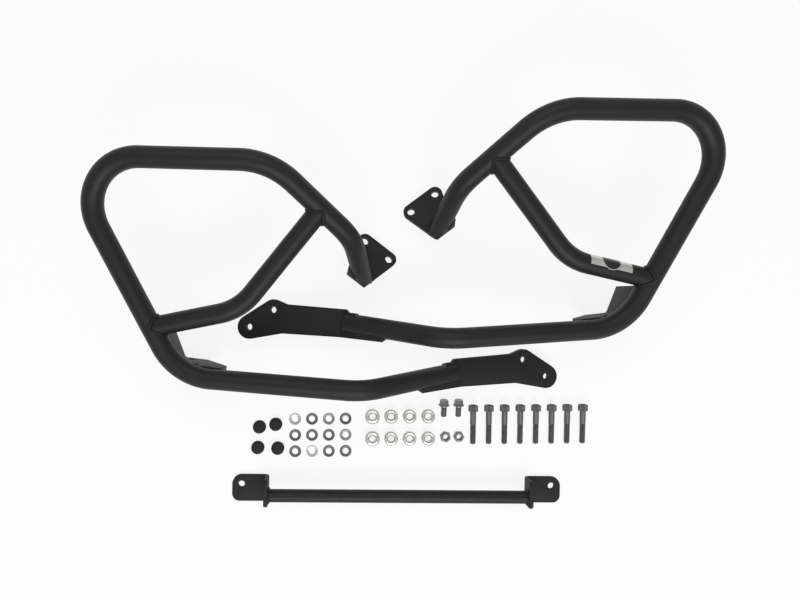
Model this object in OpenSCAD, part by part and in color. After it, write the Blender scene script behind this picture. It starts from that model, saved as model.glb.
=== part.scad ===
// A pair of engine crash bars for a motorcycle, laid out flat with their cross
// bar and fitting kit. Each bar is a bent steel loop with a bent brace welded
// across it, two mounting plates and a lug for the cross bar.
// X runs along the pair, Y up the layout, Z up from the surface they lie on.

/* [Tubes] */
// Outer diameter of the loop tube
loop_tube_d = 25.4; // [22:0.1:27]
// Outer diameter of the brace tube
brace_tube_d = 24.4; // [20:0.1:25]
// Wall of the loop and brace tubes
tube_wall = 2; // [1.5:0.1:3]
// Outer diameter of the cross bar tube
cross_tube_d = 17; // [14:0.5:20]
// Wall of the cross bar tube
cross_tube_wall = 2; // [1.5:0.1:3]

/* [Loop] */
// How far the outer corner of the loop reaches past its inner corner
loop_reach = 240; // [220:1:270]
// How far the lower corner lies below the outer corner
loop_drop = 260; // [245:1:285]
// Height of the loop's inner top corner above the surface
loop_height = 140; // [135:1:150]
// Distance from the dive bend to the brace's upper joint
brace_upper_at = 53.5; // [50:0.5:60]
// Distance from the lower corner to the brace's lower joint
brace_lower_at = 69; // [62:0.5:76]

/* [Bends] */
// Centre line radius of the dive bend at the upper mount
dive_bend_r = 60; // [50:1:65]
// Centre line radius of the inner top bend
inner_bend_r = 80; // [65:1:90]
// Centre line radius of the outer top bend
outer_bend_r = 58; // [50:1:64]
// Centre line radius of the lower corner bend
corner_bend_r = 68; // [58:1:76]
// Centre line radius of the shallow bend in the lower arm
arm_bend_r = 70; // [60:1:80]
// Centre line radius of the brace's bend
brace_bend_r = 70; // [60:1:80]

/* [Mounting plates] */
// Thickness of the folded mounting plates
plate_t = 8; // [6:0.5:9]
// Hole spacing of each mounting plate
plate_hole_gap = 40; // [38:0.5:44]
// Hole diameter in the upper plates
upper_hole_d = 10; // [8:0.5:11]
// Corner radius around the upper plate's holes
upper_corner_r = 10; // [9:0.5:12]
// Hole diameter in the lower brackets
lower_hole_d = 8.5; // [8:0.5:11]
// Distance from the upper plate's hole line to the back of its fold
upper_plate_l = 54; // [52:1:60]
// Height of the upper plate's flange at its tall end
flange_h = 27; // [22:1:32]

/* [Cross bar] */
// Distance between the two holes of the cross bar
cross_hole_gap = 420; // [380:1:450]
// Width of the cross bar's tabs
tab_w = 35.5; // [34:0.5:42]
// Thickness of the tabs
tab_t = 5; // [3:0.5:6]
// Length of each tab
tab_l = 50; // [45:1:60]
// Hole diameter in the tabs and in the lugs
tab_hole_d = 8.5; // [8:0.5:10]
// Thickness of the lugs that take the cross bar
lug_t = 6; // [4:0.5:7]

/* [Kit] */
// Thread diameter of the cap screws and bolts
screw_d = 8; // [6:0.5:8]
// Length of a cap screw under its head
screw_l = 45; // [35:1:50]
// Diameter of a cap screw's head
screw_head_d = 13; // [12:0.5:14]
// Outer diameter of a washer
washer_d = 16; // [15:0.5:18]
// Thickness of a washer
washer_t = 1.6; // [1:0.1:2.5]
// Outer diameter of the two wide spacers
wide_spacer_d = 19.5; // [18.5:0.5:22]
// Outer diameter of the six narrow spacers
spacer_d = 18; // [15:0.5:20]
// Height of every spacer
spacer_h = 10; // [6:0.5:14]
// Outer diameter of a rubber cap
cap_d = 17.7; // [16:0.1:19]
// Height of a rubber cap
cap_h = 7; // [5:0.5:9]

/* [Hidden] */
$fn = 64;

// Spare length that lets a cut run past the face it opens
over = 1;
// Clearance between a plate and the slot or bore that takes it
fit_gap = 0.2;
// How far a bend stands proud of its straights, and how far they run into it
bend_proud = 0.05;
bend_lap = 0.5;
// Steps in each round stretch of a plate's outline or fold
arc_steps = 12;

// Where the pair, its cross bar and its kit lie on the surface
layout = [-77.5, 24.4, 0];
right_turn = -1;
right_place = [153.3, 62.8, 0];
cross_place = [74.7, -253.1, 0];
cross_turn = -1;

function unit(v) = v / norm(v);
function toward(a, b, d) = a + unit(b - a) * d;
function turn_at(p, q, s) = acos(unit(q - p) * unit(s - q));

// Centre line of the loop tube, from the upper mount round to the lower arm
dive_corner = [12, 72, 88];
foot_end = [28, 24, 16];
inner_corner = [-81, 154, loop_height];
outer_rise = 9;
outer_dip = 20;
corner_lean = 118;
corner_dip = 52;
outer_corner = inner_corner + [-loop_reach, outer_rise, -outer_dip];
lower_corner = outer_corner + [corner_lean, -loop_drop, -corner_dip];
arm_corner = [25, -113, 95];

// Lower bracket: hole places, slope and outline, measured from its fold
lower_slope = 10;
lower_hole = [93, 3];
lower_pair_turn = -42.5;
lower_far_hole = lower_hole + plate_hole_gap * [cos(lower_pair_turn), sin(lower_pair_turn)];
near_lobe_r = 14;
far_lobe_r = 16;
strap_top = 17.4;
strap_low = -19.8;
fold_inner_r = 6;
fold_h = (lower_far_hole[0] + far_lobe_r) * sin(lower_slope) + plate_t / 2 * cos(lower_slope);
fold = [152, -97.2, fold_h];
arm_dir = unit(fold - arm_corner);
arm_turn = atan2(arm_dir[1], arm_dir[0]);
arm_slope = asin(-arm_dir[2]);
arm_gap = 7;
tongue_l = 62;
neck_l = 14;
lip_l = 58;
lip_low = -17;

loop_route = [
    foot_end, dive_corner, inner_corner, outer_corner, lower_corner, arm_corner,
    fold - arm_dir * arm_gap
];
loop_bends = [0, dive_bend_r, inner_bend_r, outer_bend_r, corner_bend_r, arm_bend_r, 0];

// Centre line of the brace, between two points of the loop's centre line
brace_route = [
    toward(dive_corner, inner_corner, brace_upper_at),
    [-123, -14, 93],
    toward(lower_corner, outer_corner, brace_lower_at)
];
brace_bends = [0, brace_bend_r, 0];

// Puts a shape that was drawn at the origin onto the axes x, y and z at o
module on_axes(o, x, y, z) {
    multmatrix([
        [x[0], y[0], z[0], o[0]],
        [x[1], y[1], z[1], o[1]],
        [x[2], y[2], z[2], o[2]],
        [0, 0, 0, 1]
    ]) children();
}

// Straight rod from a to b
module rod(a, b, r) {
    along = unit(b - a);
    side = unit(cross([0, 0, 1], along));
    on_axes(a, side, cross(along, side), along) cylinder(h = norm(b - a), r = r);
}

// Bend of a rod at corner q, on its way from p to s
module rod_bend(p, q, s, bend_r, r) {
    way_in = unit(q - p);
    way_out = unit(s - q);
    inward = unit(way_out - way_in * (way_in * way_out));
    centre = q - way_in * (bend_r * tan(turn_at(p, q, s) / 2)) + inward * bend_r;
    on_axes(centre, -inward, way_in, cross(-inward, way_in))
        rotate_extrude(angle = turn_at(p, q, s))
            translate([bend_r, 0]) circle(r = r);
}

function bend_cut(route, bends, i) =
    bends[i] == 0 ? 0 : bends[i] * tan(turn_at(route[i - 1], route[i], route[i + 1]) / 2);

// Rod along a route of straights and bends, with spare length past both ends.
// Each bend stands proud of its straights by a hair, and they run into it
module bent_rod(route, bends, r, spare) {
    last = len(route) - 1;
    for (i = [0:last - 1]) {
        start = i == 0 ? -spare : bend_cut(route, bends, i) - bend_lap;
        stop = i + 1 == last ? -spare : bend_cut(route, bends, i + 1) - bend_lap;
        rod(toward(route[i], route[i + 1], start), toward(route[i + 1], route[i], stop), r);
    }
    for (i = [1:last - 1])
        rod_bend(route[i - 1], route[i], route[i + 1], bends[i], r + bend_proud);
}

// Points of an arc round c, counted from the angle it starts at
function arc(c, r, from, to) =
    [for (i = [0:arc_steps]) let (a = from + (to - from) * i / arc_steps) c + r * [cos(a), sin(a)]];

// Angle at which a line from p touches a circle, on the side that sign gives
function touch(c, r, p, sign) =
    atan2(p[1] - c[1], p[0] - c[0]) + sign * acos(r / norm(p - c));

// Section of a plate folded square: its back corner at [back, 0], its flat out to far
function fold_section(back, far, t, inner_r, tall) = concat(
    arc([back + t + inner_r, t + inner_r], t + inner_r, 180, 270),
    [[far, 0], [far, t]],
    arc([back + t + inner_r, t + inner_r], inner_r, 270, 180),
    [[back + t, tall], [back, tall]]
);

// Upper plate. Its own axes are X along the holes, Y away from the fold and Z up
upper_turn = -37.5;
upper_slope = 15;
upper_fold_from = 8;
upper_fold_to = 36;
flange_low_h = 10;
flange_inner_r = 4;

upper_plate_place = [29.5, 74.5];

module upper_plate_axes() {
    translate([upper_plate_place[0], upper_plate_place[1], upper_corner_r * sin(upper_slope)])
        rotate([0, 0, upper_turn]) rotate([-upper_slope, 0, 0]) children();
}

// Outline of the flat part, wide at the holes and narrow at the fold
upper_far_hole = [plate_hole_gap, 0];
upper_left = [upper_fold_from, -upper_plate_l];
upper_right = [upper_fold_to, -upper_plate_l];
upper_outline = concat(
    [upper_left, upper_right],
    arc(upper_far_hole, upper_corner_r, touch(upper_far_hole, upper_corner_r, upper_right, 1), 90),
    arc([0, 0], upper_corner_r, 90, 360 + touch([0, 0], upper_corner_r, upper_left, -1))
);

// Folded plate of full width, with the flange cut down towards its low end
module folded_plate() {
    from = -upper_corner_r - over;
    to = plate_hole_gap + upper_corner_r + over;
    far = upper_corner_r + over;
    intersection() {
        translate([from, 0, 0]) rotate([90, 0, 90]) linear_extrude(to - from)
            polygon(fold_section(-upper_plate_l, far, plate_t, flange_inner_r, flange_h));
        translate([0, far + over, 0]) rotate([90, 0, 0])
            linear_extrude(upper_plate_l + far + 2 * over) polygon([
                [from - over, -over], [to + over, -over], [to + over, flange_low_h],
                [upper_fold_to, flange_low_h], [upper_fold_from, flange_h],
                [from - over, flange_h]
            ]);
    }
}

module upper_plate() {
    upper_plate_axes() difference() {
        intersection() {
            folded_plate();
            translate([0, 0, -over]) linear_extrude(flange_h + 2 * over) polygon(upper_outline);
        }
        for (x = [0, plate_hole_gap])
            translate([x, 0, -over]) cylinder(h = plate_t + 2 * over, d = upper_hole_d);
    }
}

// What the loop tube's foot is cut off by: all below the plate's face, and all
// behind the flange's face up to its sloping top
module foot_cut() {
    reach = 2 * loop_tube_d;
    face = plate_t - upper_plate_l;
    upper_plate_axes() {
        translate([-reach, 0, 0]) rotate([90, 0, 90]) linear_extrude(plate_hole_gap + 2 * reach)
            polygon([
                [-upper_plate_l - reach, -reach], [reach, -reach], [reach, plate_t],
                [face + flange_inner_r, plate_t], [face, plate_t + flange_inner_r],
                [-upper_plate_l - reach, plate_t + flange_inner_r]
            ]);
        translate([0, face, 0]) rotate([90, 0, 0]) linear_extrude(plate_t + reach) polygon([
            [-reach, -reach], [upper_fold_to + reach, -reach],
            [upper_fold_to + reach, flange_low_h], [upper_fold_to, flange_low_h],
            [upper_fold_from, flange_h], [-reach, flange_h]
        ]);
    }
}

// Lower bracket. Its flat part lies along its own X from the fold
module bracket_flat_axes() {
    translate(fold) rotate([0, 0, arm_turn]) rotate([0, lower_slope, 0]) children();
}

// Axes of the tongue, X pointing back up the arm's centre line
module tongue_axes() {
    translate(fold) rotate([0, 0, arm_turn]) rotate([0, arm_slope, 0]) children();
}

fold_turn = arm_slope - lower_slope;
fold_mid_r = fold_inner_r + plate_t / 2;
fold_cut = fold_mid_r * tan(fold_turn / 2);
half_bore = loop_tube_d / 2 - tube_wall;
tongue_top = sqrt(half_bore * half_bore - plate_t * plate_t / 4) - 2 * fit_gap;
lobe_lean = acos((near_lobe_r - far_lobe_r) / plate_hole_gap);
neck_top = [76, 12.9];
neck_low = [77, -26.3];

// Plan of the whole bracket: tongue, strap and the two lobes round the holes
bracket_outline = concat(
    [[-tongue_l - over, lip_low + 6], [-lip_l, lip_low], [0, strap_low], neck_low],
    arc(lower_far_hole, far_lobe_r, touch(lower_far_hole, far_lobe_r, neck_low, 1),
        lower_pair_turn + lobe_lean),
    arc(lower_hole, near_lobe_r, lower_pair_turn + lobe_lean,
        touch(lower_hole, near_lobe_r, neck_top, -1)),
    [neck_top, [-4, strap_top], [-neck_l, tongue_top], [-tongue_l - over, tongue_top]]
);

// Side view of the bracket: tongue, fold and flat
tongue_end = tongue_l * [-cos(fold_turn), sin(fold_turn)];
tongue_up = plate_t / 2 * [sin(fold_turn), cos(fold_turn)];
bracket_far = lower_far_hole[0] + far_lobe_r + over;
bracket_section = concat(
    [tongue_end + tongue_up, tongue_end - tongue_up],
    arc([fold_cut, fold_mid_r], fold_inner_r + plate_t, -90 - fold_turn, -90),
    [[bracket_far, -plate_t / 2], [bracket_far, plate_t / 2]],
    arc([fold_cut, fold_mid_r], fold_inner_r, -90, -90 - fold_turn)
);

module lower_bracket() {
    wide = 2 * plate_hole_gap;
    bracket_flat_axes() difference() {
        intersection() {
            translate([0, wide, 0]) rotate([90, 0, 0]) linear_extrude(2 * wide)
                polygon(bracket_section);
            translate([0, 0, -wide]) linear_extrude(2 * wide) polygon(bracket_outline);
        }
        for (hole = [lower_hole, lower_far_hole])
            translate([hole[0], hole[1], -plate_t / 2 - over])
                cylinder(h = plate_t + 2 * over, d = lower_hole_d);
    }
}

// Slot that takes the bracket's tongue, open at the arm's end. It runs on along
// the lower side, where the tongue stands out past the tube
module tongue_slot() {
    slot_t = plate_t + 2 * fit_gap;
    tongue_axes() {
        translate([-tongue_l - fit_gap, -loop_tube_d, -slot_t / 2])
            cube([tongue_l, loop_tube_d, slot_t]);
        translate([-neck_l - fit_gap, -over, -slot_t / 2])
            cube([neck_l, loop_tube_d, slot_t]);
    }
}

// Cross bar lug: a strap on edge, folded once, hanging below the lower corner
lug_elbow_from_corner = [-9, 15];
lug_side_run = [-14, 38];
lug_tip_run = [64, -8];
lug_elbow = [lower_corner[0], lower_corner[1]] + lug_elbow_from_corner;
lug_side_end = lug_elbow + lug_side_run;
lug_tip = lug_elbow + lug_tip_run;
lug_bend_r = 8;
lug_rise = 4;
lug_top = lower_corner[2] + lug_rise;
lug_step = 9;
lug_side_top = lug_top - lug_step;
lug_tip_drop = 29;
lug_tip_top = lug_top - lug_tip_drop;
lug_tip_low = lug_tip_top - lug_step;
lug_tip_flat = 6;
lug_foot_end = 16;
lug_hole_at = 14;
lug_hole_h = 16;

module lug_axes() {
    translate([lug_elbow[0], lug_elbow[1], 0])
        rotate([0, 0, atan2(lug_tip[1] - lug_elbow[1], lug_tip[0] - lug_elbow[0])]) children();
}

function angle_of(v) = atan2(v[1], v[0]);

// Plan of a strip of width w from a to b, folded at q on a centre line radius
function folded_strip(a, q, b, fold_r, w) = let (
    way_in = unit(q - a),
    way_out = unit(b - q),
    inward = unit(way_out - way_in * (way_in * way_out)),
    inward_out = unit(way_out * (way_in * way_out) - way_in),
    centre = q - way_in * (fold_r * tan(acos(way_in * way_out) / 2)) + inward * fold_r,
    from = angle_of(-inward),
    to = from + acos(way_in * way_out)
) concat(
    [a + inward * w / 2], arc(centre, fold_r - w / 2, from, to),
    [b + inward_out * w / 2, b - inward_out * w / 2],
    arc(centre, fold_r + w / 2, to, from), [a - inward * w / 2]
);

module cross_bar_lug() {
    lug_l = norm(lug_tip - lug_elbow);
    difference() {
        intersection() {
            linear_extrude(lug_top)
                polygon(folded_strip(lug_side_end, lug_elbow, lug_tip, lug_bend_r, lug_t));
            lug_axes() rotate([90, 0, 0]) translate([0, 0, -2 * lug_l]) linear_extrude(4 * lug_l)
                polygon([
                    [-2 * lug_l, -over], [lug_hole_at + lug_foot_end, -over],
                    [lug_hole_at + lug_foot_end + over, 0], [lug_l - lug_tip_flat, lug_tip_low],
                    [lug_l + over, lug_tip_top], [lug_l + over, lug_top + over],
                    [0, lug_side_top], [-2 * lug_l, lug_side_top]
                ]);
        }
        bent_rod([outer_corner, lower_corner, arm_corner], [0, corner_bend_r, 0],
            loop_tube_d / 2, 0);
        lug_axes() translate([lug_hole_at, 0, lug_hole_h]) rotate([90, 0, 0])
            translate([0, 0, -lug_t]) cylinder(h = 2 * lug_t, d = tab_hole_d);
    }
}

module loop_tube() {
    difference() {
        bent_rod(loop_route, loop_bends, loop_tube_d / 2, 0);
        bent_rod(loop_route, loop_bends, loop_tube_d / 2 - tube_wall, over);
        foot_cut();
        tongue_slot();
    }
}

// The brace's ends are coped to the straights of the loop that they meet
module brace_tube() {
    difference() {
        bent_rod(brace_route, brace_bends, brace_tube_d / 2, 0);
        bent_rod(brace_route, brace_bends, brace_tube_d / 2 - tube_wall, over);
        rod(dive_corner, inner_corner, loop_tube_d / 2);
        rod(lower_corner, outer_corner, loop_tube_d / 2);
    }
}

// One bar is drawn at the left. The right bar is its mirror image
module at_left() translate(layout) children();
module at_right() {
    translate(layout + right_place) rotate([0, 0, right_turn]) mirror([1, 0, 0]) children();
}

module left_loop_tube() color([0.13, 0.13, 0.14]) at_left() loop_tube();
module left_brace_tube() color([0.15, 0.15, 0.16]) at_left() brace_tube();
module left_upper_plate() color([0.17, 0.17, 0.18]) at_left() upper_plate();
module left_lower_bracket() color([0.17, 0.17, 0.18]) at_left() lower_bracket();
module left_cross_bar_lug() color([0.18, 0.18, 0.19]) at_left() cross_bar_lug();
module right_loop_tube() color([0.13, 0.13, 0.14]) at_right() loop_tube();
module right_brace_tube() color([0.15, 0.15, 0.16]) at_right() brace_tube();
module right_upper_plate() color([0.17, 0.17, 0.18]) at_right() upper_plate();
module right_lower_bracket() color([0.17, 0.17, 0.18]) at_right() lower_bracket();
module right_cross_bar_lug() color([0.18, 0.18, 0.19]) at_right() cross_bar_lug();

// Cross bar: a straight tube between two folded tabs, drawn along X
tab_end = 12.5;
tab_side = 12.5;
tab_corner_r = 10;
tab_chamfer = 4;
tab_fold_h = 34;
tab_fold_r = 4;
cross_tube_drop = 9.5;
cross_tube_h = 24;
tab_face = cross_hole_gap / 2 + tab_end - tab_l;

module on_cross_bar() translate(layout + cross_place) rotate([0, 0, cross_turn]) children();

// Plan of a tab, with its hole nearer to the top edge
tab_low = tab_side - tab_w;
tab_outline = concat(
    [[tab_face - over, tab_low]],
    arc([cross_hole_gap / 2 + tab_end - tab_corner_r, tab_low + tab_corner_r],
        tab_corner_r, -90, 0),
    arc([cross_hole_gap / 2 + tab_end - tab_side, 0], tab_side, 0, 90),
    [[tab_face - over, tab_side]]
);

// Tab at the bar's +X end, folded up where the tube meets it
module tab() {
    far = cross_hole_gap / 2 + tab_end + over;
    difference() {
        intersection() {
            translate([0, tab_side + over, 0]) rotate([90, 0, 0])
                linear_extrude(tab_w + 2 * over)
                    polygon(fold_section(tab_face, far, tab_t, tab_fold_r, tab_fold_h));
            translate([0, 0, -over]) linear_extrude(tab_fold_h + 2 * over) polygon(tab_outline);
            rotate([90, 0, 90]) linear_extrude(far) polygon([
                [tab_low - over, -over], [tab_side + over, -over],
                [tab_side + over, tab_fold_h - tab_chamfer - over],
                [tab_side - tab_chamfer, tab_fold_h + over],
                [tab_low + tab_chamfer, tab_fold_h + over],
                [tab_low - over, tab_fold_h - tab_chamfer - over]
            ]);
        }
        translate([cross_hole_gap / 2, 0, -over])
            cylinder(h = tab_t + 2 * over, d = tab_hole_d);
    }
}

module cross_bar_tube() color([0.14, 0.14, 0.15]) on_cross_bar() {
    translate([-tab_face, -cross_tube_drop, cross_tube_h]) rotate([0, 90, 0]) difference() {
        cylinder(h = 2 * tab_face, d = cross_tube_d);
        translate([0, 0, -over])
            cylinder(h = 2 * tab_face + 2 * over, d = cross_tube_d - 2 * cross_tube_wall);
    }
}
module cross_bar_left_tab() color([0.18, 0.18, 0.19]) on_cross_bar() mirror([1, 0, 0]) tab();
module cross_bar_right_tab() color([0.18, 0.18, 0.19]) on_cross_bar() tab();

// Rubber caps: shallow domed cups that close the screw heads
cap_places = [[-111.6, -173.6], [-89.8, -170.3], [-113.9, -201.4], [-87.1, -202.5]];
cap_wall = 1.6;
cap_edge_r = 2;

module rubber_cap() {
    rotate_extrude() difference() {
        union() {
            square([cap_d / 2, cap_h - cap_edge_r]);
            square([cap_d / 2 - cap_edge_r, cap_h]);
            translate([cap_d / 2 - cap_edge_r, cap_h - cap_edge_r]) intersection() {
                circle(r = cap_edge_r);
                square(cap_edge_r);
            }
        }
        translate([-over, -over]) square([cap_d / 2 - cap_wall + over, cap_h - cap_wall + over]);
    }
}
module rubber_caps() color([0.09, 0.09, 0.09]) at_left()
    for (place = cap_places) translate(place) rubber_cap();

// Washers in three rows of four
washer_pitch = [22.7, -21.9];
washer_first = [-63.8, -163.5];
washer_hole_d = screw_d + 0.4;

module washers() color([0.62, 0.63, 0.64]) at_left()
    for (column = [0:3]) for (row = [0:2])
        translate(washer_first + [column * washer_pitch[0], row * washer_pitch[1]])
            linear_extrude(washer_t) difference() {
                circle(d = washer_d);
                circle(d = washer_hole_d);
            }

// Spacers in two rows of four, the first of each row being the wide ones
spacer_first = [40.5, -160];
spacer_pitch = [25.1, -30];
spacer_hole_d = screw_d + 1;
spacer_edge = 1;

module spacer(d) {
    rotate_extrude() polygon([
        [spacer_hole_d / 2, 0], [d / 2 - spacer_edge, 0], [d / 2, spacer_edge],
        [d / 2, spacer_h - spacer_edge], [d / 2 - spacer_edge, spacer_h],
        [spacer_hole_d / 2 + spacer_edge, spacer_h], [spacer_hole_d / 2, spacer_h - spacer_edge]
    ]);
}
module wide_spacers() color([0.78, 0.78, 0.79]) at_left()
    for (row = [0, 1]) translate(spacer_first + [0, row * spacer_pitch[1]]) spacer(wide_spacer_d);
module narrow_spacers() color([0.76, 0.76, 0.77]) at_left()
    for (column = [1:3]) for (row = [0, 1])
        translate(spacer_first + [column * spacer_pitch[0], row * spacer_pitch[1]])
            spacer(spacer_d);

// Flange bolts lying on the rim of the flange and the tip
bolt_places = [[137.2, -143.6], [157, -143.6]];
bolt_l = 16;
bolt_flange_d = 14.8;
bolt_flange_t = 1.4;
bolt_hex_w = 11;
bolt_hex_h = 6;

// Hexagon prism, w wide across its flats
module hexagon(w, h) cylinder(h = h, d = w / cos(30), $fn = 6);

// Bolt lying on its flange and its tip, drawn from its tip up
module flange_bolt() {
    lie = atan((bolt_flange_d - screw_d) / 2 / bolt_l);
    rotate([90 + lie, 0, 0]) translate([0, bolt_flange_d / 2, 0]) {
        translate([0, 0, -bolt_hex_h - bolt_flange_t]) rotate([0, 0, 30])
            hexagon(bolt_hex_w, bolt_hex_h + bolt_flange_t / 2);
        translate([0, 0, -bolt_flange_t]) cylinder(h = bolt_flange_t, d = bolt_flange_d);
        translate([0, 0, -over]) cylinder(h = bolt_l + over, d = screw_d);
    }
}
module flange_bolts() color([0.5, 0.5, 0.51]) at_left()
    for (place = bolt_places) translate(place) flange_bolt();

// Lock nuts lying flat
nut_places = [[139.7, -188.6], [157.9, -188.5]];
nut_w = screw_d + 5;
nut_h = 8;
nut_collar_h = 1.8;

module lock_nut() {
    difference() {
        union() {
            hexagon(nut_w, nut_h - nut_collar_h);
            cylinder(h = nut_h, d = nut_w - 1.4);
        }
        translate([0, 0, -over]) cylinder(h = nut_h + 2 * over, d = screw_d - 1);
    }
}
module lock_nuts() color([0.5, 0.5, 0.51]) at_left()
    for (place = nut_places) translate(place) lock_nut();

// Cap screws lying side by side, heads up the layout, on head rim and tip
screw_first = [177.1, -145.1];
screw_pitch = 21.5;
screw_count = 8;
screw_head_h = screw_d;
screw_key_w = 6;
screw_key_h = 4;
screw_edge = 0.8;

module cap_screw() {
    head_r = screw_head_d / 2;
    lie = atan((head_r - screw_d / 2) / screw_l);
    translate([0, -screw_head_h, 0]) rotate([90 + lie, 0, 0]) translate([0, head_r, 0]) {
        difference() {
            translate([0, 0, -screw_head_h]) rotate_extrude() polygon([
                [0, 0], [head_r - screw_edge, 0], [head_r, screw_edge],
                [head_r, screw_head_h], [0, screw_head_h]
            ]);
            translate([0, 0, -screw_head_h - over]) hexagon(screw_key_w, screw_key_h + over);
        }
        rotate_extrude() polygon([
            [0, -over], [screw_d / 2, -over], [screw_d / 2, screw_l - screw_edge],
            [screw_d / 2 - screw_edge, screw_l], [0, screw_l]
        ]);
    }
}
module cap_screws() color([0.45, 0.45, 0.47]) at_left()
    for (i = [0:screw_count - 1])
        translate(screw_first + [i * screw_pitch, 0]) cap_screw();

left_loop_tube();
left_brace_tube();
left_upper_plate();
left_lower_bracket();
left_cross_bar_lug();
right_loop_tube();
right_brace_tube();
right_upper_plate();
right_lower_bracket();
right_cross_bar_lug();
cross_bar_tube();
cross_bar_left_tab();
cross_bar_right_tab();
rubber_caps();
washers();
wide_spacers();
narrow_spacers();
flange_bolts();
lock_nuts();
cap_screws();
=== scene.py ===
import math
import random

import bpy
from mathutils import Matrix, Vector
from mathutils.bvhtree import BVHTree


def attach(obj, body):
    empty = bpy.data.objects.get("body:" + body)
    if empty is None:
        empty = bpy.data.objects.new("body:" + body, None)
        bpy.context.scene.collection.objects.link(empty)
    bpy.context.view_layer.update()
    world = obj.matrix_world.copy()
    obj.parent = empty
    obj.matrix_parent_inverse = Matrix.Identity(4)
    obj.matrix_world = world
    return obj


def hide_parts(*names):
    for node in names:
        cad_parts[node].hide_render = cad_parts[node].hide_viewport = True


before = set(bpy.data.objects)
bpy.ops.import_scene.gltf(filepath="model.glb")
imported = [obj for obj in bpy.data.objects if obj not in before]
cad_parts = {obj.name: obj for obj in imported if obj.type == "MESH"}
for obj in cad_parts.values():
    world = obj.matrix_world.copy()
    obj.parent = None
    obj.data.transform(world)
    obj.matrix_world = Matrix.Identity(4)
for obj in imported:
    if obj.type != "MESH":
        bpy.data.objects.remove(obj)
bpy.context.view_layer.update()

# The stage. The set lies on a plain white surface under soft light from above,
# with the stronger light at the foot of the picture, as on the studio table.
# The camera stands a little left of the middle and looks almost straight down.
MM = 0.001  # a millimetre, in the scene's metres
LAYOUT = Vector((-77.5, 24.4, 0.0)) * MM  # under the camera; places are measured from it
CAMERA_HEIGHT = 839 * MM
CAMERA_PITCH = math.radians(0.73)
CAMERA_ROLL = math.radians(2.0)
TABLE_SIZE = 12  # metres
TABLE_WHITE = (0.86, 0.86, 0.86)
TABLE_GLOW = 0.86
WORLD_LIGHT = 0.5

camera_data = bpy.data.cameras.new("camera")
camera_data.sensor_width = 36
camera_data.lens = 27.9
camera_data.shift_x = 0.045
camera_data.shift_y = 0.00725
camera = bpy.data.objects.new("camera", camera_data)
stand = Matrix.Translation(LAYOUT + Vector((0, 0, CAMERA_HEIGHT)))
looking = Matrix.Rotation(CAMERA_PITCH, 3, "X") @ Matrix.Rotation(CAMERA_ROLL, 3, "Y")
camera.matrix_world = stand @ looking.transposed().to_4x4()
bpy.context.scene.collection.objects.link(camera)
bpy.context.scene.camera = camera
bpy.context.scene.view_settings.view_transform = "Standard"


class Value:
    """A number that varies over a surface, for sums written as plain Python."""

    def __init__(self, finish, socket):
        self.finish = finish
        self.socket = socket

    def maths(self, operation, other):
        return self.finish.node("ShaderNodeMath", {"operation": operation}, [self, other])

    def __add__(self, other):
        return self.maths("ADD", other)

    def __mul__(self, other):
        return self.maths("MULTIPLY", other)

    __radd__ = __add__
    __rmul__ = __mul__

    def clamped(self):
        return self.maths("MAXIMUM", 0.0).maths("MINIMUM", 1.0)


class Finish:
    """A material with one glossy shader, built from nodes."""

    def __init__(self, name, colour, roughness, metallic=0.0):
        self.material = bpy.data.materials.new(name)
        self.material.use_nodes = True
        self.tree = self.material.node_tree
        self.shader = self.tree.nodes["Principled BSDF"]
        self.output = self.tree.nodes["Material Output"]
        self.set("Base Color", (*colour, 1.0))
        self.set("Roughness", roughness)
        self.set("Metallic", metallic)

    def node(self, kind, settings=None, values=(), out=0):
        """Adds a node, sets it up, feeds its inputs and returns one output."""
        made = self.tree.nodes.new(kind)
        for name, value in (settings or {}).items():
            setattr(made, name, value)
        pairs = values.items() if isinstance(values, dict) else enumerate(values)
        for key, value in pairs:
            if isinstance(value, Value):
                self.tree.links.new(value.socket, made.inputs[key])
            else:
                made.inputs[key].default_value = value
        return Value(self, made.outputs[out])

    def set(self, socket, value):
        """Feeds a socket of the shader with a number, a colour or a Value."""
        if isinstance(value, Value):
            self.tree.links.new(value.socket, self.shader.inputs[socket])
        else:
            self.shader.inputs[socket].default_value = value

    def place(self):
        return self.node("ShaderNodeTexCoord", out="Object")

    def noise(self, per_metre, detail, place=None):
        return self.node("ShaderNodeTexNoise", values={
            "Vector": place or self.place(), "Scale": per_metre, "Detail": detail})

    def between(self, amount, first, second):
        """Colour that goes from first to second as amount goes from 0 to 1."""
        return self.node("ShaderNodeMix", {"data_type": "RGBA"}, {
            "Factor": amount, "A": (*first, 1.0), "B": (*second, 1.0)}, out="Result")

    def relief(self, height, depth, strength):
        self.set("Normal", self.node("ShaderNodeBump", values={
            "Height": height, "Distance": depth, "Strength": strength}))


def deselect():
    bpy.ops.object.select_all(action="DESELECT")


deselect()
bpy.ops.mesh.primitive_plane_add(size=TABLE_SIZE, location=(0, 0, 0))
floor = bpy.context.object
floor.name = "floor"
table = Finish("table_white", TABLE_WHITE, roughness=0.7)
seen = table.node("ShaderNodeLightPath", out="Is Camera Ray")
glossy = table.node("ShaderNodeLightPath", out="Is Glossy Ray")
through = table.node("ShaderNodeLightPath", out="Is Transmission Ray")
glow = table.node("ShaderNodeEmission", values={"Color": (1, 1, 1, 1), "Strength": 1.0})
lit = Value(table, table.shader.outputs[0])
glow_share = (seen + glossy + through).clamped() * TABLE_GLOW
mixed = table.node("ShaderNodeMixShader", values=[glow_share, lit, glow])
table.tree.links.new(mixed.socket, table.output.inputs["Surface"])
floor.data.materials.append(table.material)

world = bpy.data.worlds.new("studio")
world.use_nodes = True
bpy.context.scene.world = world
background = world.node_tree.nodes["Background"]
background.inputs["Color"].default_value = (1, 1, 1, 1)
background.inputs["Strength"].default_value = WORLD_LIGHT


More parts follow.
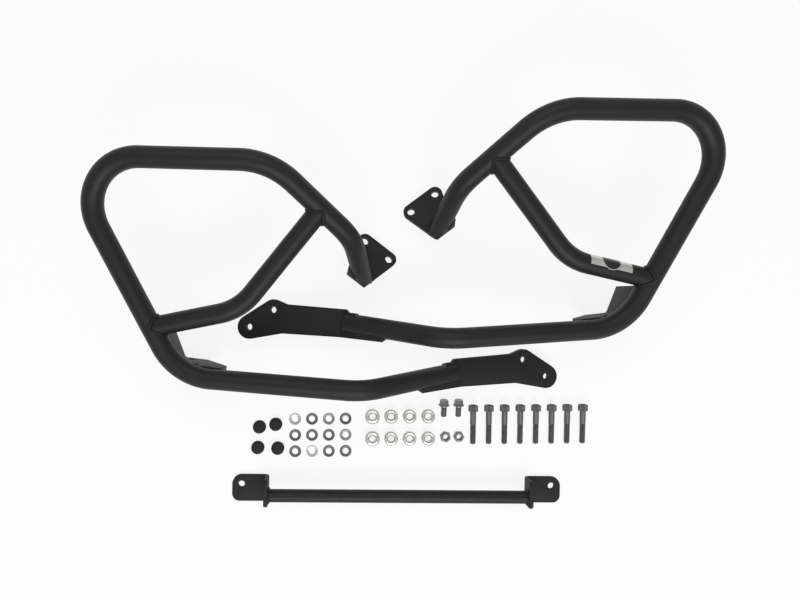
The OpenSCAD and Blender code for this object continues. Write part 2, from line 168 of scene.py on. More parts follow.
def soft_light(name, place, size, power):
    """A rectangular lamp, in metres and watts, turned to the middle of the set."""
    data = bpy.data.lights.new(name, "AREA")
    data.shape = "RECTANGLE"
    data.size, data.size_y = size
    data.energy = power
    lamp = bpy.data.objects.new(name, data)
    lamp.location = place
    lamp.rotation_euler = (-Vector(place)).to_track_quat("-Z", "Y").to_euler()
    bpy.context.scene.collection.objects.link(lamp)


soft_light("key_light", place=(0.1, -1.5, 1.7), size=(1.6, 0.8), power=26)
soft_light("fill_light", place=(-0.2, 1.3, 1.9), size=(1.6, 1.0), power=10)

# Loop, brace and cross bar tubes. Each is one length of steel tube, bent cold on a
# mandrel where it bends, and finished in satin black powder coat, which dries with
# a fine even orange peel. The brace is coped and welded across the loop.
SIDES = ("left", "right")
COAT_BLACK = (0.0065, 0.0065, 0.007)
COAT_DUSTY = (0.014, 0.014, 0.015)


def powder_coat(name, peel, depth, rough):
    """Black coat with an orange peel of so many bumps a metre, a little dusty."""
    coat = Finish(name, COAT_BLACK, rough)
    cloud = coat.noise(per_metre=14, detail=4)
    grain = coat.noise(per_metre=peel, detail=3)
    dust = coat.noise(per_metre=peel * 3, detail=1)
    dusty = (cloud * 0.7 + dust * 0.3).clamped()
    coat.set("Base Color", coat.between(dusty, COAT_BLACK, COAT_DUSTY))
    coat.set("Roughness", grain * 0.12 + cloud * 0.10 + rough)
    coat.set("Specular IOR Level", 0.32)
    coat.relief(grain + dust * 0.45, depth, strength=0.8)
    return coat.material


tube_coat = powder_coat("satin_black_tube", peel=820, depth=0.22 * MM, rough=0.36)


def dress(name, material):
    """Gives a piece of the frame its finish."""
    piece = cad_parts[name]
    piece.data.materials.clear()
    piece.data.materials.append(material)


for side in SIDES:
    dress(side + "_loop_tube", tube_coat)
    dress(side + "_brace_tube", tube_coat)
dress("cross_bar_tube", tube_coat)

# Plates. The upper plates, lower brackets and lugs are cut from steel plate and
# folded cold, the cross bar's tabs too. Their cut edges and hole rims are rounded
# by the thick coat that is baked on over them.
PLATES = [side + part for side in SIDES for part in ("_upper_plate", "_lower_bracket", "_cross_bar_lug")]
PLATES += ["cross_bar_left_tab", "cross_bar_right_tab"]
EDGE_ROUND = 0.7 * MM
SAME_POINT = 0.002 * MM
SAME_FACE = math.radians(1)
SHARP_EDGE = math.radians(40)
PLATE_SMOOTH = math.radians(28)

plate_coat = powder_coat("satin_black_plate", peel=700, depth=0.24 * MM, rough=0.48)


def shown(name, mesh, material):
    """Puts a new piece in the scene, in its finish, riding with the set."""
    piece = bpy.data.objects.new(name, mesh)
    bpy.context.scene.collection.objects.link(piece)
    piece.data.materials.clear()
    piece.data.materials.append(material)
    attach(piece, "root")
    return piece


def pick(piece):
    """Selects one piece alone and makes it the one that operators work on."""
    deselect()
    piece.select_set(True)
    bpy.context.view_layer.objects.active = piece


def apply_modifier(piece, kind, **settings):
    """Gives a piece a modifier and applies it; the piece stays picked."""
    pick(piece)
    made = piece.modifiers.new(kind.lower(), kind)
    for name, value in settings.items():
        setattr(made, name, value)
    bpy.ops.object.modifier_apply(modifier=made.name)


for name in PLATES:
    plate = shown(name + "_coated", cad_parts[name].data.copy(), plate_coat)
    pick(plate)
    bpy.ops.mesh.customdata_custom_splitnormals_clear()
    bpy.ops.object.mode_set(mode="EDIT")
    bpy.ops.mesh.select_all(action="SELECT")
    bpy.ops.mesh.remove_doubles(threshold=SAME_POINT)
    bpy.ops.mesh.dissolve_limited(angle_limit=SAME_FACE)
    bpy.ops.object.mode_set(mode="OBJECT")
    apply_modifier(plate, "BEVEL", width=EDGE_ROUND, segments=3, limit_method="ANGLE",
                   angle_limit=SHARP_EDGE)
    bpy.ops.object.shade_smooth_by_angle(angle=PLATE_SMOOTH)
    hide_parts(name)

# Welds. Each joint is run round by hand with a bead about 5 mm wide, laid down in
# ripples like a stack of coins, and coated over with the rest. Here are the ends of
# the braces, and the loops' feet in the corners of their folded plates.
LOOP_R = 12.7
BRACE_R = 12.2
WELD_WIDTH = 4.6 * MM
WELD_STEP = 0.5 * MM
FEWEST_STEPS = 8
RIPPLE = 2.6 * MM
COIN_SPREAD = (0.94, 1.06)
COIN_LOW = 0.84
COIN_RISE = 0.2
END_TAPER = 0.45
SHORTEST = 13 * MM
WIDEST_GAP = 6 * MM
RING_STEPS = 120
RIGHT_TURN = math.radians(-1)
RIGHT_PLACE = (153.3, 62.8)
hand = random.Random(11)


def at_side(side, point):
    """A point of the bars, from the left bar's own axes in mm to the layout."""
    x, y, z = point
    if side == "right":
        x, y = (-x * math.cos(RIGHT_TURN) - y * math.sin(RIGHT_TURN) + RIGHT_PLACE[0],
                -x * math.sin(RIGHT_TURN) + y * math.cos(RIGHT_TURN) + RIGHT_PLACE[1])
    return LAYOUT + Vector((x, y, z)) * MM


def even_steps(path, closed):
    """Points at equal steps along a path, so that the ripples come out even."""
    corners = list(path) + ([path[0]] if closed else [])
    gaps = [(b - a).length for a, b in zip(corners, corners[1:])]
    count = max(FEWEST_STEPS, round(sum(gaps) / WELD_STEP))
    points, travelled, leg = [], 0.0, 0
    for step in range(count + (0 if closed else 1)):
        goal = sum(gaps) * step / count
        while leg < len(gaps) - 1 and travelled + gaps[leg] < goal:
            travelled += gaps[leg]
            leg += 1
        share = (goal - travelled) / gaps[leg] if gaps[leg] else 0
        points.append(corners[leg].lerp(corners[leg + 1], min(1, share)))
    return points


def weld(name, path, closed=False, width=WELD_WIDTH):
    """Lays a bead along a path, thinner at its ends unless it runs all round."""
    points = even_steps(path, closed)
    bead = bpy.data.curves.new(name, "CURVE")
    bead.dimensions = "3D"
    bead.bevel_depth = width / 2
    bead.bevel_resolution = 2
    bead.use_fill_caps = not closed
    line = bead.splines.new("POLY")
    line.points.add(len(points) - 1)
    line.use_cyclic_u = closed
    coin, spread = 0.0, 1.0
    for place, point in zip(points, line.points):
        coin += WELD_STEP / RIPPLE
        if coin >= 1:
            coin -= 1
            spread = hand.uniform(*COIN_SPREAD)
        point.co = (*place, 1)
        point.radius = spread * (COIN_LOW + COIN_RISE * math.sqrt(1 - coin))
    if not closed:
        line.points[0].radius = line.points[-1].radius = END_TAPER
    laid = bpy.data.objects.new(name, bead)
    bpy.context.scene.collection.objects.link(laid)
    pick(laid)
    bpy.ops.object.convert(target="MESH")
    laid = bpy.context.object
    bpy.ops.object.shade_smooth()
    laid.data.materials.append(plate_coat)
    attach(laid, "root")


def surface(node):
    """The faces of a piece of the frame, for finding where a line meets them."""
    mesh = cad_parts[node].data
    return BVHTree.FromPolygons([v.co for v in mesh.vertices], [p.vertices for p in mesh.polygons])


def ring_on(node, start, toward, radius, reach):
    """Where a ring of lines, sent out from start, meets a piece of the frame."""
    face = surface(node)
    along = (toward - start).normalized()
    side = along.orthogonal().normalized()
    up = along.cross(side)
    hits = []
    for step in range(RING_STEPS):
        angle = math.tau * step / RING_STEPS
        origin = start + (side * math.cos(angle) + up * math.sin(angle)) * radius
        hits.append(face.ray_cast(origin, along, reach)[0])
    return hits


def runs(places):
    """Splits a ring with gaps into the stretches between them."""
    if None not in places:
        return [(places, True)]
    gap = places.index(None)
    stretches, current = [], []
    for place in places[gap:] + places[:gap + 1]:
        if place is not None and (not current or (place - current[-1]).length < WIDEST_GAP):
            current.append(place)
        else:
            if sum((b - a).length for a, b in zip(current, current[1:])) > SHORTEST:
                stretches.append((current, False))
            current = [] if place is None else [place]
    return stretches


def weld_runs(name, places, width=WELD_WIDTH):
    """Welds each stretch of the places at which one piece meets another."""
    for count, (path, closed) in enumerate(runs(places)):
        weld(f"{name}_{count}", path, closed, width)


# Bends and ends of the tubes' middle lines, in the left bar's own axes
BRACE_MID = (-123, -14, 93)
BRACE_UPPER = (-24.7, 104.4, 108.5)
BRACE_LOWER = (-231.05, -35.18, 80.36)
BRACE_BEAD_R = (BRACE_R + 0.35) * MM
BRACE_BACK = 34 * MM
BRACE_REACH = 40 * MM
DIVE_CORNER = (12, 72, 88)
FOOT_END = (28, 24, 16)
FOOT_BEAD_R = (LOOP_R + 0.2) * MM
FOOT_SHARE = 0.3
FOOT_REACH = 110 * MM
for side in SIDES:
    for joint, end in (("upper", BRACE_UPPER), ("lower", BRACE_LOWER)):
        toward, start = at_side(side, end), at_side(side, BRACE_MID)
        start = toward.lerp(start, BRACE_BACK / (start - toward).length)
        ring = ring_on(side + "_loop_tube", start, toward, BRACE_BEAD_R, BRACE_REACH)
        weld_runs(f"{side}_brace_{joint}_weld", ring)
    start, toward = at_side(side, DIVE_CORNER), at_side(side, FOOT_END)
    start = start.lerp(toward, FOOT_SHARE)
    ring = ring_on(side + "_upper_plate", start, toward, FOOT_BEAD_R, FOOT_REACH)
    weld_runs(f"{side}_foot_weld", ring)

# Tongue and neck welds. The lower bracket's tongue is let into a slot in the arm. It
# is welded along both edges of the slot on the arm's lower side and round the slot's
# closed end, and its neck gets a short bead on each face.
THIN_WELD = 4.0 * MM
BRACKET_FOLD = Vector((152, -97.2, 27.988))
ARM_TURN = math.radians(7.0917)
ARM_SLOPE = math.radians(27.6373)
SLOT_EDGE = 4.7
SLOT_SIDE = math.sqrt(LOOP_R ** 2 - SLOT_EDGE ** 2) + 0.2
SLOT_START = -8
SLOT_STRAIGHT = -60
SLOT_ROUND = (-62.5, -LOOP_R, 2.5)
SLOT_TIP = (-63, -LOOP_R, 0)
NECK_END = -20
arm_axes = Matrix.Rotation(ARM_TURN, 3, "Z") @ Matrix.Rotation(ARM_SLOPE, 3, "Y")


def weld_on_arm(side, name, points):
    """A thin bead through points given along, across and above the arm's axis."""
    path = [at_side(side, BRACKET_FOLD + arm_axes @ Vector(point)) for point in points]
    weld(f"{side}_{name}", path, width=THIN_WELD)


slot_upper = [(SLOT_START, -SLOT_SIDE, SLOT_EDGE), (SLOT_STRAIGHT, -SLOT_SIDE, SLOT_EDGE), SLOT_ROUND]
slot_lower = [(x, y, -z) for x, y, z in reversed(slot_upper)]
for side in SIDES:
    weld_on_arm(side, "tongue_weld", slot_upper + [SLOT_TIP] + slot_lower)
    for name, height in (("top", SLOT_EDGE), ("low", -SLOT_EDGE)):
        neck = [(SLOT_START, SLOT_SIDE, height), (NECK_END, SLOT_SIDE, height)]
        weld_on_arm(side, f"neck_weld_{name}", neck)

# Lug welds. The lug is a folded steel strap that stands on edge under the loop's
# lower corner, cut to the tube's round, and is welded to it along both faces.
LUG_LINE = [(-225, -46.5), (-213.5, -78), (-209, -82.6), (-150, -89.7)]  # its middle, in plan
LUG_FACE = 3.4
LUG_STEPS = 24
LUG_LOW = 30
LUG_HIGH = 76
for side in SIDES:
    tube = surface(side + "_loop_tube")
    for name, face in (("inner", -1), ("outer", 1)):
        touch = []
        for (ax, ay), (bx, by) in zip(LUG_LINE, LUG_LINE[1:]):
            along = Vector((bx - ax, by - ay, 0))
            across = Vector((-along.y, along.x, 0)).normalized() * face * LUG_FACE
            for step in range(LUG_STEPS):
                x, y, _ = Vector((ax, ay, 0)) + along * step / LUG_STEPS + across
                start, above = at_side(side, (x, y, LUG_LOW)), at_side(side, (x, y, LUG_HIGH))
                upward = (above - start).normalized()
                touch.append(tube.ray_cast(start, upward, (LUG_HIGH - LUG_LOW) * MM)[0])
        weld_runs(f"{side}_lug_{name}_weld", touch + [None], THIN_WELD)

# Cross bar welds. The cross bar is a straight steel tube that runs between the
# folded ears of its two tabs, and is welded to them all the way round.
CROSS_PLACE = Vector((74.7, -253.1, 0))
CROSS_TURN = Matrix.Rotation(math.radians(-1), 3, "Z")
CROSS_END = 172.1
CROSS_Y = -9.5
CROSS_Z = 24
CROSS_BEAD_R = 9.2
CROSS_STEPS = 60
for name, x in (("left", -CROSS_END), ("right", CROSS_END)):
    around = []
    for step in range(CROSS_STEPS):
        angle = math.tau * step / CROSS_STEPS
        y = CROSS_Y + CROSS_BEAD_R * math.cos(angle)
        z = CROSS_Z + CROSS_BEAD_R * math.sin(angle)
        around.append(LAYOUT + (CROSS_TURN @ Vector((x, y, z)) + CROSS_PLACE) * MM)
    weld(f"cross_bar_{name}_weld", around, closed=True, width=THIN_WELD)

# Label. A thin bare metal foil is wrapped and glued over the upper side of the right
# brace's lower run, with a plain dark disc on a foil rim in its middle.
LABEL_LONG = 55
LABEL_HIGH = 25
LABEL_AT = 50
LABEL_TURN = math.radians(57)
LABEL_LIFT = 0.08
DISC_TURN = math.radians(48)
DISC_RIM = 12.6
DISC_RIM_LIFT = 0.16
DISC = 11.6
DISC_LIFT = 0.24
FOIL_THICK = 0.10
FOIL_SMOOTH = math.radians(30)
FOIL = (0.66, 0.66, 0.63)
FOIL_DARK = (0.50, 0.50, 0.47)
FOIL_LIGHT = (0.80, 0.80, 0.77)
FIELD = (0.010, 0.010, 0.011)
FIELD_DARK = (0.007, 0.007, 0.008)
FIELD_LIGHT = (0.016, 0.016, 0.017)


def wrap_on_brace(patch, turn, lift, material):
    """Bends a flat patch round the right brace, turned by an angle from its top."""
    start, end = at_side("right", BRACE_MID), at_side("right", BRACE_LOWER)
    along = (end - start).normalized()
    upward = (Vector((0, 0, 1)) - along * along.z).normalized()
    outward = along.cross(upward)
    if outward.y < 0:
        outward.negate()
    radius = (BRACE_R + lift) * MM
    for vertex in patch.data.vertices:
        angle = turn + vertex.co.y / radius
        vertex.co = (start + along * (LABEL_AT * MM + vertex.co.x)
                     + (upward * math.cos(angle) + outward * math.sin(angle)) * radius)
    apply_modifier(patch, "SOLIDIFY", thickness=FOIL_THICK * MM, offset=0)
    bpy.ops.object.mode_set(mode="EDIT")
    bpy.ops.mesh.select_all(action="SELECT")
    bpy.ops.mesh.normals_make_consistent(inside=False)
    bpy.ops.object.mode_set(mode="OBJECT")
    bpy.ops.object.shade_smooth_by_angle(angle=FOIL_SMOOTH)
    patch.data.materials.append(material)
    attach(patch, "root")


def flat_disc(name, radius):
    """A flat disc, cut up finely enough to bend round the tube."""
    deselect()
    bpy.ops.mesh.primitive_circle_add(vertices=64, radius=radius * MM, fill_type="TRIFAN")
    disc = bpy.context.object
    disc.name = disc.data.name = name
    bpy.ops.object.mode_set(mode="EDIT")
    bpy.ops.mesh.select_all(action="SELECT")
    bpy.ops.mesh.subdivide(number_cuts=7)
    bpy.ops.object.mode_set(mode="OBJECT")
    return disc


foil = Finish("bare_foil", FOIL, roughness=0.34, metallic=0.85)
grain_way = foil.node("ShaderNodeMapping", values={"Vector": foil.place(), "Scale": (0.25, 2.4, 1.0)})
brushed = foil.noise(per_metre=420, detail=3, place=grain_way)
foil.set("Base Color", foil.between(brushed, FOIL_DARK, FOIL_LIGHT))
foil.set("Roughness", brushed * 0.18 + 0.26)
foil.relief(brushed, depth=0.04 * MM, strength=0.4)
field = Finish("dark_field", FIELD, roughness=0.30)
speckle = field.noise(per_metre=2600, detail=2)
field.set("Base Color", field.between(speckle, FIELD_DARK, FIELD_LIGHT))
field.set("Roughness", speckle * 0.12 + 0.24)
field.relief(speckle, depth=0.02 * MM, strength=0.3)

deselect()
bpy.ops.mesh.primitive_grid_add(x_subdivisions=2, y_subdivisions=28, size=1)
label = bpy.context.object
label.name = label.data.name = "right_brace_label"
bpy.ops.transform.resize(value=(LABEL_LONG * MM, LABEL_HIGH * MM, 1))
bpy.ops.object.transform_apply(location=False, rotation=False, scale=True)
wrap_on_brace(label, LABEL_TURN, LABEL_LIFT, foil.material)
wrap_on_brace(flat_disc("right_brace_disc_rim", DISC_RIM), DISC_TURN, DISC_RIM_LIFT, foil.material)
wrap_on_brace(flat_disc("right_brace_disc", DISC), DISC_TURN, DISC_LIFT, field.material)

# Rubber caps. Four moulded black rubber caps that press over the screw heads, with
# a softly domed top, a thin parting lip and a hollow underside.
CAP_PLACES = [(-111.6, -173.6), (-89.8, -170.3), (-113.9, -201.4), (-87.1, -202.5)]
CAP_LIP = [(7.2, 0), (8.85, 0), (8.85, 0.9), (8.6, 1.1)]
CAP_DOME = [(8.6, 4.6), (8.4, 5.6), (7.9, 6.3), (7.0, 6.7), (5.2, 6.9), (2.6, 7.0), (0.2, 7.0)]
CAP_HOLLOW = [(0.2, 5.3), (6.9, 5.3), (7.2, 5.0), (7.2, 0)]
KIT_SMOOTH = math.radians(32)
ANY_TURN = (0, 6)
RING_MERGE = 0.001 * MM
RUBBER = (0.016, 0.016, 0.016)
RUBBER_DARK = (0.009, 0.009, 0.009)
RUBBER_LIGHT = (0.022, 0.022, 0.022)


def ring_up(profile, sides=48, name="turned"):
    """Turns a piece up from a circle, ring by ring, in mm from its own foot.

    A profile of (radius, height) that comes back to its first point makes a ring
    with a hole, and any other makes a solid.
    """
    hollow = profile[0] == profile[-1]
    deselect()
    radius, height = profile[0]
    bpy.ops.mesh.primitive_circle_add(vertices=sides, radius=radius * MM, location=(0, 0, height * MM),
                                      fill_type="NOTHING")
    piece = bpy.context.object
    piece.name = piece.data.name = name
    bpy.ops.object.transform_apply(location=True, rotation=False, scale=False)
    bpy.ops.object.mode_set(mode="EDIT")
    bpy.ops.mesh.select_all(action="SELECT")
    if not hollow:
        bpy.ops.mesh.edge_face_add()
    for (r0, z0), (r1, z1) in zip(profile, profile[1:]):
        bpy.ops.mesh.extrude_region_move(TRANSFORM_OT_translate={"value": (0, 0, (z1 - z0) * MM)})
        bpy.ops.transform.resize(value=(r1 / r0, r1 / r0, 1), center_override=(0, 0, z1 * MM))
    bpy.ops.mesh.select_all(action="SELECT")
    bpy.ops.mesh.remove_doubles(threshold=RING_MERGE)
    # The first face went up with the extrusions, so the foot is closed again.
    if not hollow:
        bpy.ops.mesh.select_all(action="DESELECT")
        bpy.ops.mesh.select_non_manifold()
        bpy.ops.mesh.edge_face_add()
    bpy.ops.mesh.select_all(action="SELECT")
    bpy.ops.mesh.normals_make_consistent(inside=False)
    bpy.ops.object.mode_set(mode="OBJECT")
    return piece


def lay_out(model, names, moves, materials, node):
    """Copies a finished piece to each of its places, each copy with its own mesh.

    A material of None leaves a copy in the materials of the model.
    """
    pick(model)
    bpy.ops.object.shade_smooth_by_angle(angle=KIT_SMOOTH)
    for name, move, material in zip(names, moves, materials):
        mesh = model.data.copy()
        mesh.transform(move)
        if material is not None:
            mesh.materials.clear()
            mesh.materials.append(material)
        piece = bpy.data.objects.new(name, mesh)
        bpy.context.scene.collection.objects.link(piece)
        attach(piece, "root")
        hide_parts(node)
    bpy.data.objects.remove(model)


def flat_at(x, y, turn):
    return Matrix.Translation(LAYOUT + Vector((x, y, 0)) * MM) @ Matrix.Rotation(turn, 4, "Z")


rubber = Finish("moulded_rubber", RUBBER, roughness=0.62)
bloom = rubber.noise(per_metre=160, detail=3)
pores = rubber.noise(per_metre=2400, detail=2)
rubber.set("Base Color", rubber.between(bloom, RUBBER_DARK, RUBBER_LIGHT))
rubber.set("Roughness", bloom * 0.15 + 0.55)
rubber.set("Specular IOR Level", 0.25)
rubber.relief(pores, depth=0.06 * MM, strength=0.4)
cap = ring_up(CAP_LIP + CAP_DOME + CAP_HOLLOW, name="cap")
lay_out(cap, [f"rubber_cap_{i}" for i in range(len(CAP_PLACES))],
        [flat_at(x, y, hand.uniform(*ANY_TURN)) for x, y in CAP_PLACES],
        [rubber.material] * len(CAP_PLACES), "rubber_caps")

# Washers. Twelve stamped M8 washers, zinc plated: the punch leaves one edge round
# and the other sharp. Eight get a dark grey zinc finish, two a mid grey and two a bright one.
WASHER_FIRST = (-63.8, -163.5)
WASHER_STEP = (22.7, -21.9)
WASHER_RINGS = [(4.25, 0), (7.9, 0), (8.0, 0.1), (8.0, 1.15), (7.9, 1.4), (7.6, 1.6), (4.5, 1.6),
                (4.28, 1.5), (4.2, 1.3), (4.25, 0)]


def zinc(name, dark, light, rough):
    """Zinc plate on steel, stained in clouds and finely scratched."""
    plated = Finish(name, dark, rough, metallic=0.9)
    stain = plated.noise(per_metre=260, detail=4)
    scratch = plated.noise(per_metre=1500, detail=2)
    plated.set("Base Color", plated.between(stain, dark, light))
    plated.set("Roughness", stain * 0.2 + scratch * 0.1 + rough)
    plated.relief(scratch, depth=0.04 * MM, strength=0.5)
    return plated.material


dull = zinc("dull_zinc", dark=(0.085, 0.087, 0.085), light=(0.17, 0.17, 0.17), rough=0.30)
grey = zinc("grey_zinc", dark=(0.20, 0.20, 0.20), light=(0.34, 0.34, 0.33), rough=0.30)
bright = zinc("bright_zinc", dark=(0.42, 0.42, 0.42), light=(0.62, 0.62, 0.61), rough=0.22)
washer_tones = [bright, dull, grey, dull,
                dull, dull, dull, grey,
                dull, bright, dull, dull]
spots = [(WASHER_FIRST[0] + WASHER_STEP[0] * column, WASHER_FIRST[1] + WASHER_STEP[1] * row)
         for row in range(3) for column in range(4)]
lay_out(ring_up(WASHER_RINGS, name="washer"), [f"washer_{i}" for i in range(len(spots))],
        [flat_at(x, y, hand.uniform(*ANY_TURN)) for x, y in spots],
        washer_tones, "washers")

# Spacers. Two wide and six narrow ones, turned from aluminium bar with a small
# chamfer at each rim and fine tool rings on their faces.
SPACER_FIRST = (40.5, -160)
SPACER_STEP = (25.1, -30)
SPACER_KINDS = [("wide_spacers", 9.75, [0]), ("narrow_spacers", 9.0, [1, 2, 3])]
SPACER_HIGH = 10
SPACER_RIM = 0.9
SPACER_BORE = 4.5
SPACER_BORE_RIM = 1
SPACER_BORE_FOOT = 0.4
SPACER_BORE_FLARE = 0.05
TOOL_RINGS_IN = 1.3
TOOL_RINGS_END = 5.9
TOOL_RING = 0.42
TOOL_RING_FALL = 0.12
TOOL_RING_RISE = 0.30
TOOL_RING_DEEP = 0.05
ALUMINIUM = (0.70, 0.70, 0.69)
ALUMINIUM_DARK = (0.50, 0.49, 0.465)
ALUMINIUM_LIGHT = (0.70, 0.695, 0.675)

turned_aluminium = Finish("turned_aluminium", ALUMINIUM, roughness=0.30, metallic=0.9)
cut = turned_aluminium.noise(per_metre=900, detail=2)
turned_aluminium.set("Base Color", turned_aluminium.between(cut, ALUMINIUM_DARK, ALUMINIUM_LIGHT))
turned_aluminium.set("Roughness", cut * 0.16 + 0.24)
turned_aluminium.relief(cut, depth=0.03 * MM, strength=0.4)


def spacer(radius, name):
    """A spacer from its foot, up its side, in over the tool rings and down its bore."""
    rings = [(SPACER_BORE + SPACER_BORE_FLARE, 0), (radius - SPACER_RIM, 0), (radius, SPACER_RIM),
             (radius, SPACER_HIGH - SPACER_RIM), (radius - SPACER_RIM, SPACER_HIGH)]
    across = radius - TOOL_RINGS_IN
    while across > TOOL_RINGS_END:
        rings += [(across, SPACER_HIGH), (across - TOOL_RING_FALL, SPACER_HIGH - TOOL_RING_DEEP),
                  (across - TOOL_RING_RISE, SPACER_HIGH)]
        across -= TOOL_RING
    rings += [(SPACER_BORE + SPACER_BORE_RIM, SPACER_HIGH), (SPACER_BORE, SPACER_HIGH - SPACER_BORE_RIM),
              (SPACER_BORE, SPACER_BORE_FOOT), rings[0]]
    return ring_up(rings, sides=64, name=name)


for node, radius, columns in SPACER_KINDS:
    spots = [(SPACER_FIRST[0] + SPACER_STEP[0] * column, SPACER_FIRST[1] + SPACER_STEP[1] * row)
             for column in columns for row in range(2)]
    lay_out(spacer(radius, node), [f"{node}_{i}" for i in range(len(spots))],
            [flat_at(x, y, hand.uniform(*ANY_TURN)) for x, y in spots],
            [turned_aluminium.material] * len(spots), node)

# Lock nuts. Two zinc plated steel hexagon nuts with chamfered corners, a rolled
# collar and a threaded bore. They lie on their flat face.
NUT_PLACES = [(139.7, -188.6, 0.2), (157.9, -188.5, 0.5)]
NUT_FLATS = 13
NUT_HEX_HIGH = 6.2
NUT_CHAMFER = [(6.3, -0.2), (7.6, 0.75), (7.6, 5.5), (6.3, 6.4)]
NUT_BORE = [(3.7, -1), (3.7, 9)]
NUT_COLLAR = [(3.6, 5.9), (5.8, 5.9), (5.8, 7.0), (5.4, 7.7), (4.7, 8.0), (4.2, 7.9), (3.6, 7.3)]
NUT_SKIRT = [(3.95, 0.9), (3.95, 5.9), (3.6, 5.9)]
NUT_THREAD_R = 3.5
NUT_THREAD_DEEP = 0.3
NUT_THREAD_TOP = 7.2
NUT_TURNS = 5
PITCH = 1.25
HEXAGON_TURN = math.radians(2)


def hexagon(width, low, high):
    """Six-sided bar, in mm across its flats, from one height to another.

    It is turned a little, so that none of its corners runs into a corner of the
    round piece that it is cut with.
    """
    deselect()
    bpy.ops.mesh.primitive_cylinder_add(vertices=6, radius=width / 2 / math.cos(math.radians(30)) * MM,
                                        depth=(high - low) * MM, location=(0, 0, (high + low) / 2 * MM),
                                        rotation=(0, 0, HEXAGON_TURN))
    bpy.ops.object.transform_apply(location=True, rotation=True, scale=True)
    return bpy.context.object


def combine(piece, tool, operation):
    """Cuts a piece with a tool, or keeps what they share, and drops the tool."""
    apply_modifier(piece, "BOOLEAN", operation=operation, object=tool, solver="EXACT")
    bpy.data.objects.remove(tool)
    return piece


def join(parts):
    """Makes one piece of several, each still closed by itself."""
    deselect()
    for part in parts:
        part.select_set(True)
    bpy.context.view_layer.objects.active = parts[0]
    bpy.ops.object.join()
    return parts[0]


grooves = [(NUT_THREAD_R + NUT_THREAD_DEEP * (step % 2), NUT_THREAD_TOP - step * PITCH / 2)
           for step in range(1, 2 * NUT_TURNS + 1)]
body = combine(hexagon(NUT_FLATS, 0, NUT_HEX_HIGH), ring_up(NUT_CHAMFER), "INTERSECT")
body = combine(body, ring_up(NUT_BORE, sides=36), "DIFFERENCE")
collar = ring_up(NUT_COLLAR + grooves + NUT_SKIRT, sides=36, name="collar")
lay_out(join([body, collar]), [f"lock_nut_{i}" for i in range(len(NUT_PLACES))],
        [flat_at(x, y, turn) for x, y, turn in NUT_PLACES],
        [grey] * len(NUT_PLACES), "lock_nuts")

# Flange bolts. Two zinc plated steel bolts with a hexagon head on a round flange and
# a rolled thread up to it. Each lies on the rim of its flange and its tip, with its
# head up the layout.
BOLT_PLACES = [(137.2, -143.6), (157.0, -143.6)]
BOLT_FLATS = 11
BOLT_HEX = (-7.4, -0.7)
BOLT_CHAMFER = [(5.2, -7.5), (6.5, -6.6), (6.6, -0.6)]
FLANGE_R = 7.4
FLANGE_RINGS = [(5.0, -2.1), (7.0, -1.3), (FLANGE_R, -1.0), (FLANGE_R, -0.3), (7.2, 0),
                (3.9, 0), (3.9, 2.2), (3.4, 2.6)]
BOLT_TIP = [(3.3, 13.8), (3.36, 15.3), (2.8, 16)]
BOLT_LONG = 16
BOLT_THREAD = (1.2, 16.4)
SHANK_R = 4.0
THREAD_R = 3.98
THREAD_DEEP = 0.62
THREAD_FACETS = 24


def rolled_thread(low, high, name):
    """Screws one groove of the thread up its length, and closes both ends.

    The groove is a plane less one corner, whose two edges become its flanks.
    """
    deselect()
    bpy.ops.mesh.primitive_plane_add(size=1)
    thread = bpy.context.object
    thread.name = name
    bpy.ops.object.mode_set(mode="EDIT")
    bpy.ops.mesh.select_all(action="DESELECT")
    bpy.ops.object.mode_set(mode="OBJECT")
    thread.data.vertices[3].select = True
    bpy.ops.object.mode_set(mode="EDIT")
    bpy.ops.mesh.delete(type="VERT")
    bpy.ops.object.mode_set(mode="OBJECT")
    ends = [v for v in thread.data.vertices if sum(v.index in e.vertices for e in thread.data.edges) == 1]
    crest = next(v for v in thread.data.vertices if v not in ends)
    root_r = THREAD_R - THREAD_DEEP
    ends[0].co = (root_r * MM, 0, low * MM)
    crest.co = (THREAD_R * MM, 0, (low + PITCH / 2) * MM)
    ends[1].co = (root_r * MM, 0, (low + PITCH) * MM)
    turns = int((high - low) / PITCH) - 1
    apply_modifier(thread, "SCREW", screw_offset=PITCH * MM, iterations=turns, steps=THREAD_FACETS,
                   render_steps=THREAD_FACETS, use_merge_vertices=True, merge_threshold=RING_MERGE)
    bpy.ops.object.mode_set(mode="EDIT")
    bpy.ops.mesh.select_all(action="SELECT")
    bpy.ops.mesh.remove_doubles(threshold=RING_MERGE)
    bpy.ops.mesh.select_all(action="DESELECT")
    bpy.ops.mesh.select_non_manifold()
    bpy.ops.mesh.fill_holes(sides=0)
    bpy.ops.mesh.select_all(action="SELECT")
    bpy.ops.mesh.normals_make_consistent(inside=False)
    bpy.ops.object.mode_set(mode="OBJECT")
    return thread


def lying(x, y, head_r, long):
    """Lays a piece down on the rim of its head and the end of its shank."""
    lean = math.atan((head_r - SHANK_R) / long)
    return (Matrix.Translation(LAYOUT + Vector((x, y, 0)) * MM)
            @ Matrix.Rotation(math.radians(90) + lean, 4, "X") @ Matrix.Translation((0, head_r * MM, 0)))


head = combine(hexagon(BOLT_FLATS, *BOLT_HEX), ring_up(BOLT_CHAMFER), "INTERSECT")
flange = ring_up(FLANGE_RINGS)
tip = ring_up(BOLT_TIP, sides=36)
thread = rolled_thread(*BOLT_THREAD, "bolt_thread")
lay_out(join([head, flange, tip, thread]), [f"flange_bolt_{i}" for i in range(len(BOLT_PLACES))],
        [lying(x, y, FLANGE_R, BOLT_LONG) for x, y in BOLT_PLACES],
        [grey] * len(BOLT_PLACES), "flange_bolts")
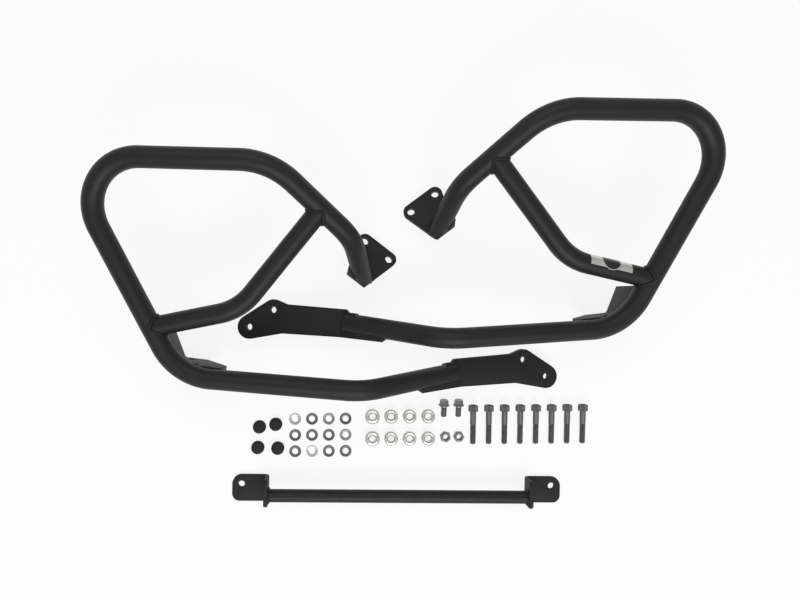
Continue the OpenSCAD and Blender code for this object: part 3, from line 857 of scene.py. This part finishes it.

# Cap screws. Eight M8 steel screws with a knurled round head, a hexagon socket and a
# plain shank above a rolled thread, which looks darker for the shade in its grooves.
# The thread and tip get a copy of the plated steel of their own, tuned apart from the
# shank's as painted shade. Each lies on the rim of its head and its tip, with its head
# up the layout.
SCREW_COUNT = 8
SCREW_FIRST = (177.1, -153.1)
SCREW_STEP = 21.5
SCREW_LONG = 45
SCREW_THREAD = (17, 44.9)
HEAD_R = 6.5
HEAD_RINGS = [(5.7, -8), (6.35, -7.35), (HEAD_R, -7.1), (HEAD_R, -0.5), (6.3, -0.15), (6.0, 0)]
KNURL_SIDES = 84
KNURL_IN = 0.94
KNURL_LOW = -7.2 * MM
KNURL_HIGH = -0.4 * MM
SOCKET_FLATS = 6
SOCKET = (-9, -4)
SHANK_RINGS = [(4.6, -0.2), (4.2, 0.3), (SHANK_R, 0.9), (SHANK_R, 17.2), (3.5, 18.2)]
SCREW_TIP = [(3.3, 42), (3.36, 44.2), (2.7, SCREW_LONG)]

# The thread's copy of the plated steel is painted shade: its tone is set for the shade in the grooves,
# apart from the shank's.
painted_shade_thread_steel = zinc("rolled_thread_painted_shade", dark=(0.15, 0.15, 0.148), light=(0.24, 0.24, 0.235), rough=0.42)
screw_steel = zinc("screw_steel_plated", dark=(0.14, 0.14, 0.135), light=(0.22, 0.22, 0.215), rough=0.52)

head = ring_up(HEAD_RINGS, sides=KNURL_SIDES)
for vertex in head.data.vertices:
    facet = round(math.atan2(vertex.co.y, vertex.co.x) / math.tau * KNURL_SIDES)
    if facet % 2 and KNURL_LOW < vertex.co.z < KNURL_HIGH:
        vertex.co.x *= KNURL_IN
        vertex.co.y *= KNURL_IN
head = combine(head, hexagon(SOCKET_FLATS, *SOCKET), "DIFFERENCE")
shank = ring_up(SHANK_RINGS)
for part in (head, shank):
    part.data.materials.append(screw_steel)
thread = rolled_thread(*SCREW_THREAD, "screw_thread")
tip = ring_up(SCREW_TIP, sides=36)
# The thread and tip take the painted-shade copy of the steel.
for part in (thread, tip):
    part.data.materials.append(painted_shade_thread_steel)
spots = [(SCREW_FIRST[0] + SCREW_STEP * i, SCREW_FIRST[1]) for i in range(SCREW_COUNT)]
lay_out(join([head, shank, thread, tip]), [f"cap_screw_{i}" for i in range(SCREW_COUNT)],
        [lying(x, y, HEAD_R, SCREW_LONG) for x, y in spots],
        [None] * SCREW_COUNT, "cap_screws")
